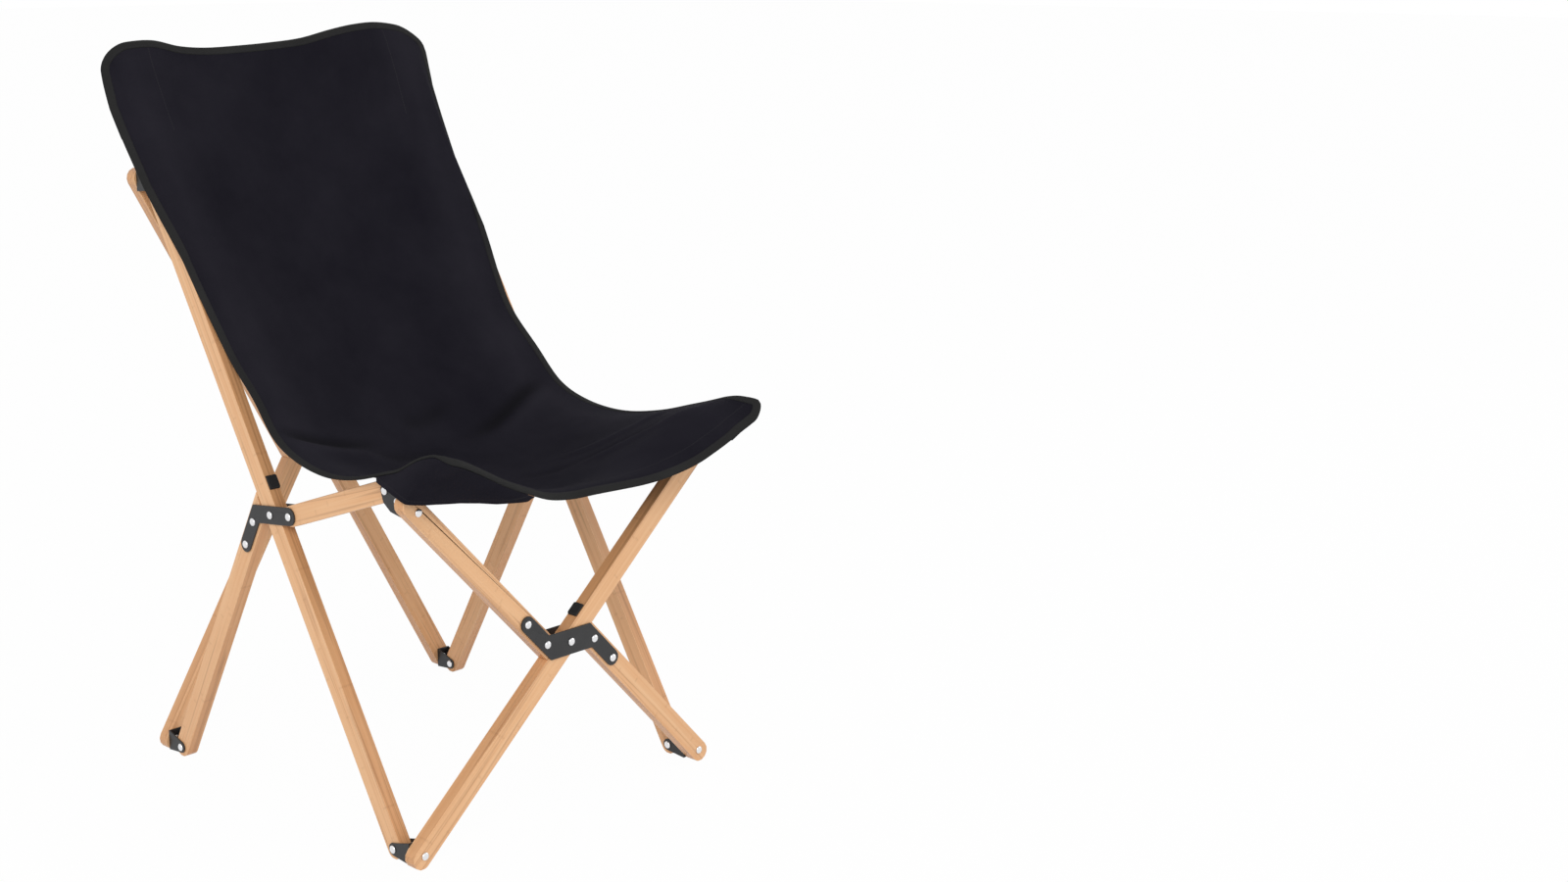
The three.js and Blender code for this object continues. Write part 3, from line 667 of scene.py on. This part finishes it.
# Metres at shares of the cloth, which run from -1 to 1 across it and from 0 to 1 along it. The
# top and front rises are across, the wrap and the half width are along.
top_rise_at = [
    (-1.0, 0.006), (-0.85, 0.012), (-0.7, 0.012), (-0.55, 0.003), (-0.4, -0.001), (-0.2, -0.001),
    (0.0, 0.001), (0.2, 0.0055), (0.4, 0.016), (0.55, 0.0225), (0.7, 0.0255), (0.85, 0.022),
    (1.0, 0.013),
]
top_rise_fade_share = 0.14
front_rise_at = [
    (-1.0, 0.0725), (-0.9, 0.065), (-0.8, 0.0535), (-0.7, 0.0405), (-0.6, 0.0275), (-0.45, 0.011),
    (-0.3, -0.0035), (-0.15, -0.0105), (0.0, -0.0125), (0.3, -0.0135), (0.45, -0.0095), (0.6, -0.0005),
    (0.7, 0.010), (0.8, 0.0225), (0.85, 0.0305), (0.9, 0.037), (0.95, 0.044), (1.0, 0.054),
]
wrap_at = [
    (0.0, 0.0), (0.018, 0.0), (0.05, 0.007), (0.08, 0.012), (0.2, 0.0125), (0.24, 0.0085),
    (0.28, 0.004), (0.32, 0.0), (1.0, 0.0),
]
half_width_at = [
    (0.0, 0.2465), (0.02, 0.2505), (0.06, 0.2515), (0.12, 0.2490), (0.2, 0.2435), (0.25, 0.2405),
    (0.3, 0.2370), (0.35, 0.2335), (0.4, 0.2290), (0.45, 0.2255), (0.5, 0.2250), (0.55, 0.2255),
    (0.62, 0.2290), (0.7, 0.2340), (0.8, 0.2430), (0.9, 0.2500), (1.0, 0.2520),
]
samples_of_line = 120


def between(first, second, start, end, time):
    return first + (second - first) * (time - start) / (end - start)


def smooth_line(knots):
    """Dense points of a smooth line through pairs of numbers."""
    knots = np.array(knots, float)
    knots = np.vstack([2 * knots[0] - knots[1], knots, 2 * knots[-1] - knots[-2]])
    made = []
    for index in range(len(knots) - 3):
        four = knots[index:index + 4]
        gaps = np.sqrt(np.linalg.norm(np.diff(four, axis=0), axis=1))
        times = np.concatenate([[0.0], np.cumsum(gaps)])
        for share in np.linspace(0.0, 1.0, samples_of_line, endpoint=index == len(knots) - 4):
            time = times[1] + (times[2] - times[1]) * share
            places = four
            for reach in (1, 2):
                places = [
                    between(places[k], places[k + 1], times[k], times[k + reach], time)
                    for k in range(4 - reach)
                ]
            made.append(between(*places, times[1], times[2], time))
    return np.array(made)


def run_of(line):
    """Length along a line up to each of its points."""
    return np.concatenate([[0.0], np.cumsum(np.linalg.norm(np.diff(line, axis=0), axis=1))])


def in_side_plane(shares):
    """Depths and heights of places given as shares of the long bars' depth and the sling's rise."""
    return [(side_pivot.y + depth * pole_depth, side_pivot.z + rise * sling_rise) for depth, rise in shares]


middle_line = smooth_line(in_side_plane(middle_line_shares))
side_line = smooth_line(in_side_plane(side_edge_shares))
top_rise = smooth_line(top_rise_at)
front_rise = smooth_line(front_rise_at)
half_width_line = smooth_line(half_width_at)
flat_length = float(run_of(middle_line)[-1])
side_length = float(run_of(side_line)[-1])


def along_line(line, along):
    """Places on a line, at shares of its length."""
    places = run_of(line)
    return np.stack([np.interp(along, places / places[-1], line[:, k]) for k in (0, 1)], axis=-1)


def smooth_step(value, low, high):
    share = np.clip((value - low) / (high - low), 0.0, 1.0)
    return share * share * (3 - 2 * share)


# Folds of the cloth in use: where each starts and ends, across and along as shares, then half its
# width and its height in metres. A height below zero is a furrow.
folds = [
    (0.93, 0.60, 0.20, 0.665, 0.010, -0.0060),
    (0.93, 0.618, 0.20, 0.695, 0.013, 0.0040),
    (0.86, 0.93, 0.30, 0.83, 0.007, 0.0038),
    (0.92, 0.86, 0.36, 0.79, 0.007, 0.0032),
    (0.72, 0.90, 0.10, 0.80, 0.008, -0.0024),
    (-0.97, 0.60, -0.30, 0.65, 0.009, -0.0052),
    (-0.97, 0.622, -0.30, 0.68, 0.010, 0.0036),
    (-0.80, 0.90, -0.25, 0.84, 0.008, 0.0026),
    (-0.50, 0.66, 0.10, 0.69, 0.012, -0.0030),
    (-0.10, 0.61, 0.35, 0.60, 0.012, -0.0026),
]
deepest_fold = 0.006
fold_start_shares = (-0.05, 0.25)
fold_end_shares = (0.55, 1.1)
fold_wander = 0.006
wander_turns = 5
# Scale at which the folds' painted shade and painted highlight ride in the third number of the cloth's
# place.
painted_crease_scale = 1e-4
hem_depth = 0.028
hem_step = 0.0008
hem_softness = 0.0015
swells = [
    (9.0, 5.0, 0.3, 0.0010), (17.0, -7.0, 1.9, 0.0007), (-6.0, 13.0, 4.1, 0.0010),
    (23.0, 11.0, 2.2, 0.0004), (-14.0, 21.0, 5.0, 0.0005), (31.0, -26.0, 0.8, 0.00022),
]
swell_bend = 1.6
swell_bend_waves = (7, -5)
still_edge_shares = (0.8, 0.95)
still_top_shares = (0.05, 0.3)


def creases(x, y, sized=False):
    """Sum of the folds at a place on the flat cloth, in metres or as shares of painted shade: above zero in
    furrows, below zero on ridges as a painted highlight.
    """
    total = np.zeros(np.broadcast(x, y).shape)
    for first_across, first_along, last_across, last_along, width, size in folds:
        start = np.array((first_across * half_width, first_along * flat_length))
        run = np.array((last_across * half_width, last_along * flat_length)) - start
        share = ((x - start[0]) * run[0] + (y - start[1]) * run[1]) / (run @ run)
        aside = ((x - start[0]) * run[1] - (y - start[1]) * run[0]) / math.sqrt(run @ run)
        inside = smooth_step(share, *fold_start_shares) * (1 - smooth_step(share, *fold_end_shares))
        bend = fold_wander * np.sin(wander_turns * share + first_across)
        spread = np.exp(-((aside + bend) / width) ** 2)
        total = total + (size if sized else -size / deepest_fold) * inside * spread
    return total


def relief(across, along):
    """How far the cloth stands out of its smooth shape, towards the sitter."""
    x = across * half_width
    y = along * flat_length
    height = np.zeros_like(x)
    for x_wave, y_wave, phase, size in swells:
        bend = swell_bend * np.sin(swell_bend_waves[0] * x + swell_bend_waves[1] * y + phase)
        height = height + size * np.sin(x_wave * x + y_wave * y + phase + bend)
    held = 1 - smooth_step(np.abs(across), *still_edge_shares)
    height = height * held * smooth_step(along, *still_top_shares)
    hem = flat_length - hem_depth
    height = height + creases(x, y, sized=True)
    return height + hem_step * smooth_step(y, hem - hem_softness, hem + hem_softness)


def sling_points(across, along):
    """Points of the sling. across runs from -1 to 1, along from the top edge to the front edge."""
    across, along = np.broadcast_arrays(np.asarray(across, float), np.asarray(along, float))
    half = np.interp(along, half_width_line[:, 0], half_width_line[:, 1])
    x = across * half
    release = smooth_step(along, front_release_share, 1.0)
    held = np.minimum(bar_inner_face - bearing_margin, half)
    held = held + (half - held) * release
    reach = np.abs(x) / held
    over = np.clip(reach - 1 + bearing_round, 0.0, 2 * bearing_round)
    reach = np.minimum(reach, 1 + bearing_round) - over ** 2 / (4 * bearing_round)
    blend = sag_blend_share
    pull = (np.hypot(reach, blend) - blend) / (math.hypot(1, blend) - blend)
    middle = along_line(middle_line, along)
    edge = along_line(side_line, along)
    line = middle + (edge - middle) * pull[..., None]
    after = along_line(middle_line, np.minimum(along + direction_share, 1.0))
    before = along_line(middle_line, np.maximum(along - direction_share, 0.0))
    ahead = after - before
    ahead /= np.linalg.norm(ahead, axis=-1, keepdims=True)
    out = relief(across, along)
    y = line[..., 0] + ahead[..., 1] * out
    z = line[..., 1] - ahead[..., 0] * out
    lip = np.clip(1 - (1 - along) * flat_length / front_lip_width, 0.0, 1.0)
    front_height = front_hinge_height + np.interp(across, front_rise[:, 0], front_rise[:, 1])
    z = z + (front_height + front_lip_drop - z) * release - front_lip_drop * lip ** 2
    top_share = 1 - smooth_step(along, 0.0, top_rise_fade_share)
    z = z + np.interp(across, top_rise[:, 0], top_rise[:, 1]) * top_share
    overhang = np.maximum(half - bar_outer_face, least_overhang)
    beyond = np.clip((np.abs(x) - bar_outer_face) / overhang, 0.0, 1.0)
    wrap = np.interp(along, *np.array(wrap_at).T) * beyond
    return np.stack([x, y + behind_poles[1] * wrap, z + behind_poles[2] * wrap], axis=-1)


def rounded(across, width, drop):
    """Share of the length that a corner's curve takes off the cloth at each place across."""
    over = np.clip((np.abs(across) - (1 - width)) / width, 0.0, 1.0)
    return drop * (1 - np.sqrt(1 - over ** 2))


def cut_line(across):
    """Where the cloth starts at each place across, along it from the top edge."""
    return rounded(across, corner_round_share, corner_drop_share)


def front_line(across):
    """Where the cloth ends at each place across."""
    return 1 - rounded(across, front_round_share, front_drop_share)


def sheet_mesh(name, points, places, material):
    """Mesh of a grid of points, with each point's place on the flat cloth in metres and its painted fold
    shade.
    """
    rows, columns = points.shape[:2]
    index = np.arange(rows * columns).reshape(rows, columns)
    faces = np.stack([index[:-1, :-1], index[:-1, 1:], index[1:, 1:], index[1:, :-1]], axis=-1)
    mesh = bpy.data.meshes.new(name)
    mesh.from_pydata(points.reshape(-1, 3).tolist(), [], faces.reshape(-1, 4).tolist())
    flat = mesh.attributes.new("cloth_place", "FLOAT_VECTOR", "POINT")
    flat.data.foreach_set("vector", places.reshape(-1).astype(np.float32))
    for polygon in mesh.polygons:
        polygon.use_smooth = True
    mesh.materials.append(material)
    piece = bpy.data.objects.new(name, mesh)
    bpy.context.scene.collection.objects.link(piece)
    return piece


canvas_black = (0.0080, 0.0072, 0.0118, 1.0)
# The lighter tone is both faded canvas and the painted highlight on the folds' ridges; the darkest is the
# painted shadow in their furrows.
canvas_faded_and_highlit = (0.0182, 0.0168, 0.0236, 1.0)
painted_crease_shadow = (0.0026, 0.0025, 0.0030, 1.0)
thread_grey = (0.026, 0.025, 0.029, 1.0)
lint_grey = (0.06, 0.058, 0.062, 1.0)
thread_pitch = 0.0009
stitch_pitch = 0.0032
stitch_width = 0.0007


def stitches(across_seam, along_seam):
    """1 on the threads of a lockstitched seam, from the distances across and along it."""
    near = graded(math_node("ABSOLUTE", across_seam / stitch_width), (0.0, 1.0), (0.55, 1.0), (1.0, 0.0))
    step = math_node("FRACT", along_seam / stitch_pitch)
    return near * graded(step, (0.0, 0.0), (0.12, 1.0), (0.72, 1.0), (0.84, 0.0))


def canvas_cloth(name, low, high, seams):
    """Plain weave in cotton, with painted shade in the folds' furrows and a painted highlight on their
    ridges. seams gives rows of stitches from the places across and along.
    """
    material, shade = new_material(name)
    place = shade.node("Attribute", {"attribute_name": "cloth_place"}, output="Vector")
    across_cloth = part_of(place, "X")
    along_cloth = part_of(place, "Y")
    weft = math_node("SINE", across_cloth * (math.pi / thread_pitch))
    warp = math_node("SINE", along_cloth * (math.pi / thread_pitch))
    slub = noise(place, 260.0, 4.0)
    specks = graded(noise(place, 900.0, 2.0), (0.66, 0.0), (0.74, 1.0))
    worn = graded(noise(place, 7.0, 5.0, Roughness=0.6), (0.32, 0.0), (0.72, 1.0))
    aside = math_node("ABSOLUTE", across_cloth)
    # Lighter in a band where the cloth turns over the long bars.
    lightened = graded(aside, (0.16, 0.0), (0.212, 1.0), (0.235, 0.55), (0.26, 0.3))
    # Painted shade darkens the folds' furrows and a painted highlight lightens their ridges.
    painted_crease_shade = part_of(place, "Z") / painted_crease_scale
    furrow_shade = math_node("MAXIMUM", painted_crease_shade, 0.0)
    ridge_highlight = math_node("MAXIMUM", painted_crease_shade * -1.0, 0.0)
    colour = mix_colour(worn * 0.7 + slub * 0.25 + lightened * 0.45 + ridge_highlight * 0.6 - 0.15, low, high)
    colour = mix_colour(furrow_shade * 0.75, colour, painted_crease_shadow)
    colour = mix_colour(specks * 0.12, colour, lint_grey)
    height = weft * warp * 0.5 + slub * 0.9
    for seam in seams(across_cloth, along_cloth):
        colour = mix_colour(seam * 0.8, colour, thread_grey)
        height = height + seam * 1.1
    looks = {"Base Color": colour, "Roughness": slub * 0.1 + 0.88, "Specular IOR Level": 0.08}
    finish_surface(shade, looks, height, 0.4, 0.0004)
    return material


pocket_hem_to_hinge = 0.033
top_pocket_width = 0.072
top_pocket_length = pole_over_hinge - pocket_hem_to_hinge
side_seam_inset = 0.004
front_seam_inset = 0.003


def sling_seams(across_cloth, along_cloth):
    """Seams that show on the panel: the top pockets' inner sides and the front hem."""
    side_seam = math_node("ABSOLUTE", across_cloth) - (half_width - top_pocket_width + side_seam_inset)
    above_hem = math_node("LESS_THAN", along_cloth, top_pocket_length)
    front_seam = along_cloth - (flat_length - hem_depth + front_seam_inset)
    return [stitches(side_seam, along_cloth) * above_hem, stitches(front_seam, across_cloth)]


def cloth_places(across, along, painted_crease_shade=0.0):
    """Places on the flat cloth at the points of a grid, each with its painted fold shade."""
    return np.stack(np.broadcast_arrays(across, along, painted_crease_shade), axis=-1)


def hang_panel(panel, thickness, made_piece):
    """Thickens a panel, which stands for a made piece, and carries it on the left long bar."""
    cloth = panel.modifiers.new("cloth_thickness", "SOLIDIFY")
    cloth.thickness = thickness
    cloth.offset = 0.0
    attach(panel, "left_long")
    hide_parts(made_piece)
    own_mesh(panel)


canvas = canvas_cloth("black_canvas", canvas_black, canvas_faded_and_highlit, sling_seams)
sling_columns = 160
back_rows = 210
front_rows = 44
front_rows_from = 0.95
across = np.sin(np.linspace(-1.0, 1.0, sling_columns + 1) * math.pi / 2)
across = 0.5 * across + 0.5 * np.linspace(-1.0, 1.0, sling_columns + 1)
down = np.concatenate([
    np.linspace(0.0, front_rows_from, back_rows + 1),
    np.linspace(front_rows_from, 1.0, front_rows + 1)[1:],
])
start = cut_line(across)
along = start[None, :] + (front_line(across) - start)[None, :] * down[:, None]
grid = sling_points(across[None, :], along)
# Painted shade for the folds' furrows and painted highlight for their ridges, carried with the cloth's
# places.
crease_shading = creases(across[None, :] * half_width, along * flat_length) * painted_crease_scale
flat_places = cloth_places(across[None, :] * half_width, along * flat_length, crease_shading)
sling = sheet_mesh("canvas_sling", grid, flat_places, canvas)
hang_panel(sling, canvas_thickness, "sling")


# Edge binding
# A folded canvas tape closes the raw edge all round the sling. It is about 9 mm wide on each
# face, a little greyer than the panel, and lockstitched close to its inner edge.

binding_black = (0.0190, 0.0188, 0.0190, 1.0)
binding_faded = (0.0330, 0.0332, 0.0325, 1.0)
binding_width = 0.009
binding_half = 0.0017
binding_lap = 0.0012
binding_seam = 0.0022
closing_step = 0.001
inward_share = 1e-3
edge_steps = 190


def binding_seams(girth, run):
    """One row of stitches on each face of the tape, near its inner edge."""
    return [stitches(girth - binding_seam, run), stitches(girth - (tape_girth - binding_seam), run)]


tape_section = [
    (binding_width, 0.55), (binding_width * 0.9, 1.0), (binding_width * 0.5, 1.06),
    (binding_width * 0.15, 1.0), (-binding_lap * 0.6, 0.62), (-binding_lap, 0.0),
]
tape_section += [(reach, -rise) for reach, rise in reversed(tape_section[:-1])]
tape_steps = [
    math.hypot(b[0] - a[0], (b[1] - a[1]) * binding_half) for a, b in zip(tape_section, tape_section[1:])
]
tape_girth = sum(tape_steps)
binding = canvas_cloth("bound_edge", binding_black, binding_faded, binding_seams)


def edge_frame(across, along, inward_across, inward_along):
    """Points of the sling's edge, with the way into the cloth and the cloth's normal at each."""
    edge = sling_points(across, along)
    inside = sling_points(across + inward_across * inward_share, along + inward_along * inward_share)
    inward = inside - edge
    inward /= np.linalg.norm(inward, axis=-1, keepdims=True)
    run = np.roll(edge, -1, axis=0) - np.roll(edge, 1, axis=0)
    run /= np.linalg.norm(run, axis=-1, keepdims=True)
    normal = np.cross(run, inward)
    normal /= np.linalg.norm(normal, axis=-1, keepdims=True)
    return edge, np.cross(normal, run), normal


def tape_round(name, edge, inward, normal):
    """Folded tape over a closed edge: a flat oval section swept along the edge's points."""
    sections = [edge + inward * reach + normal * rise * binding_half for reach, rise in tape_section]
    points = np.stack(sections + sections[:1], axis=1)
    points = np.concatenate([points, points[:1]])
    run = run_of(np.concatenate([edge, edge[:1]]))
    girth = np.cumsum([0.0] + tape_steps + [closing_step])
    return sheet_mesh(name, points, cloth_places(girth[None, :], run[:, None]), binding)


side_along = np.linspace(corner_drop_share, 1 - front_drop_share, edge_steps)[1:]
round_across = np.concatenate([across, np.ones(edge_steps - 2), across[::-1], -np.ones(edge_steps - 2)])
round_along = np.concatenate([
    cut_line(across), side_along[:-1], front_line(across[::-1]), side_along[:-1][::-1],
])
bound = edge_frame(round_across, round_along, -round_across * 0.9, 0.5 - round_along)
tape = tape_round("sling_edge_binding", *bound)
seam = tape.modifiers.new("closed_seam", "WELD")
seam.merge_threshold = closing_reach
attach(tape, "left_long")
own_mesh(tape)


# Top pockets
# Behind each upper corner a long pocket of the same canvas is sewn on along both sides and the
# top. It is open below, and the end of a long bar stands in it and stretches its back.

top_pocket_slack = 0.0015
top_pocket_crown = 0.016
bar_width = 0.025
sewn_gap = 0.0023
pocket_thickness = 0.0015
pocket_hem_width = 0.012
top_pocket_columns = 46
top_pocket_rows = 60
fullness_at = np.array([
    (0.180, 0.0), (0.186, 0.10), (0.197, 0.50), (0.209, 0.90), (0.217, 1.0), (0.233, 1.0),
    (0.237, 0.90), (0.243, 0.52), (0.249, 0.12), (0.252, 0.0),
])


def pocket_seams(across_cloth, along_cloth):
    """The stitched hem of a top pocket's open end."""
    return [stitches(along_cloth - (top_pocket_length - pocket_hem_width), across_cloth)]


def top_pocket_points(across, down, way):
    """Points of a top pocket: across from its inner side to its outer, down to its open end."""
    x = half_width - top_pocket_width * (1 - across)
    start = cut_line(x / half_width)
    point = sling_points(way * x / half_width, start + down * (top_pocket_length / flat_length - start))
    depth = (np.array((0.0, pole_top.y, pole_top.z)) - point) @ behind_poles + bar_width / 2
    crown = np.minimum(1.0, down * top_pocket_length / top_pocket_crown)
    closing = np.sqrt(1 - (1 - crown) ** 2)
    belly = np.interp(x, fullness_at[:, 0], fullness_at[:, 1]) * closing
    return point + behind_poles * (sewn_gap + (depth + top_pocket_slack - sewn_gap) * belly)[..., None]


pocket_canvas = canvas_cloth("pocket_canvas", canvas_black, canvas_faded_and_highlit, pocket_seams)
pocket_across = (1 - np.cos(np.linspace(0.0, math.pi, top_pocket_columns + 1))) / 2
pocket_down = np.linspace(0.0, 1.0, top_pocket_rows + 1)
for side, way in (("left", -1.0), ("right", 1.0)):
    grid = top_pocket_points(pocket_across[None, :], pocket_down[:, None], way)
    places = cloth_places(
        pocket_across[None, :] * top_pocket_width, pocket_down[:, None] * top_pocket_length,
    )
    pocket = sheet_mesh(f"{side}_top_pocket", grid, places, pocket_canvas)
    hang_panel(pocket, pocket_thickness, f"sling_{side}_top_pocket")


# Front pockets
# Under each front corner a panel hangs from the sling's front edge down over the top ends of
# the front bars, with a straight hem on their outer faces and a gusset along the side edge.

front_pocket_hem_rise = 0.016
hem_height = front_hinge_height + front_pocket_hem_rise
least_drop = 0.0005
front_pocket_drop = 0.0018
front_pocket_tail = 0.006
front_pocket_slack = 0.004
front_ear_to_base = 0.028
clear_of_rivets = 0.001
front_hem_depth = front_ear_to_base - pivots["fold"].y + bar_thickness + 2 * seat_gap + clear_of_rivets
front_pocket_return = 0.110
front_pocket_turn = 0.72
front_pocket_columns = 90
front_pocket_rows = 30
inner_share = {"left": 0.41, "right": 0.80}
hem_turn_power = {"left": 0.5, "right": 1.5}
hem_rise_at = {
    "left": [
        (0.41, -0.0110), (0.45, -0.0145), (0.49, -0.0135), (0.554, -0.0115), (0.6175, -0.0096),
        (0.704, -0.0050), (0.796, -0.0015), (0.898, 0.0), (1.0, 0.0),
    ],
    "right": [(0.80, 0.0045), (0.83, 0.0045), (0.86, 0.0040), (0.90, 0.0020), (0.95, 0.0), (1.0, 0.0)],
}
front_hem_seam = 0.007


def front_pocket_seams(across_cloth, down_cloth):
    """The stitched hem along a front pocket's lower edge, down being counted from the hem."""
    return [stitches(down_cloth - front_hem_seam, across_cloth)]


def front_pocket_points(across, down, side):
    """Points of a front pocket: across from its inner end round the corner, down to its hem."""
    way = {"left": -1.0, "right": 1.0}[side]
    inner = inner_share[side]
    front = np.minimum(1.0, across / front_pocket_turn)
    back = np.maximum(0.0, across - front_pocket_turn) / (1 - front_pocket_turn)
    place = inner + (1 - inner) * front
    edge = sling_points(way * place, front_line(place) - back * front_pocket_return / side_length)
    edge[..., 2] -= front_pocket_drop
    hem = edge.copy()
    turn = (1 - front) ** hem_turn_power[side]
    hem[..., 1] = -front_hem_depth + (edge[..., 1] + front_hem_depth) * turn
    hem_line = hem_height + np.interp(place, *np.array(hem_rise_at[side]).T)
    hem[..., 2] = np.minimum(hem_line, edge[..., 2] - least_drop)
    corner = edge[0, -1].copy()
    corner[1:] = -front_hem_depth, hem_height
    last = edge[0, -1] - np.array((0.0, 0.0, front_pocket_tail))
    hem = np.where(back[..., None] > 0, corner + (last - corner) * back[..., None], hem)
    slack = np.sin(math.pi * down) * np.sin(math.pi * front) * np.minimum(1.0, 4 * (1 - front))
    point = edge + (hem - edge) * down[..., None]
    point[..., 1] -= front_pocket_slack * slack
    return point


front_pocket_canvas = canvas_cloth("front_pocket_canvas", canvas_black, canvas_faded_and_highlit, front_pocket_seams)
around, drop = np.meshgrid(
    np.linspace(0.0, 1.0, front_pocket_columns + 1), np.linspace(0.0, 1.0, front_pocket_rows + 1),
)
for side in ("left", "right"):
    grid = front_pocket_points(around, drop, side)
    down_steps = np.linalg.norm(np.diff(grid, axis=0, prepend=grid[:1]), axis=-1)
    across_steps = np.linalg.norm(np.diff(grid, axis=1, prepend=grid[:, :1]), axis=-1)
    heights = down_steps.cumsum(axis=0)
    places = cloth_places(across_steps.cumsum(axis=1), heights[-1:] - heights)
    pocket = sheet_mesh(f"{side}_front_pocket", grid, places, front_pocket_canvas)
    hang_panel(pocket, pocket_thickness, f"sling_{side}_front_pocket")
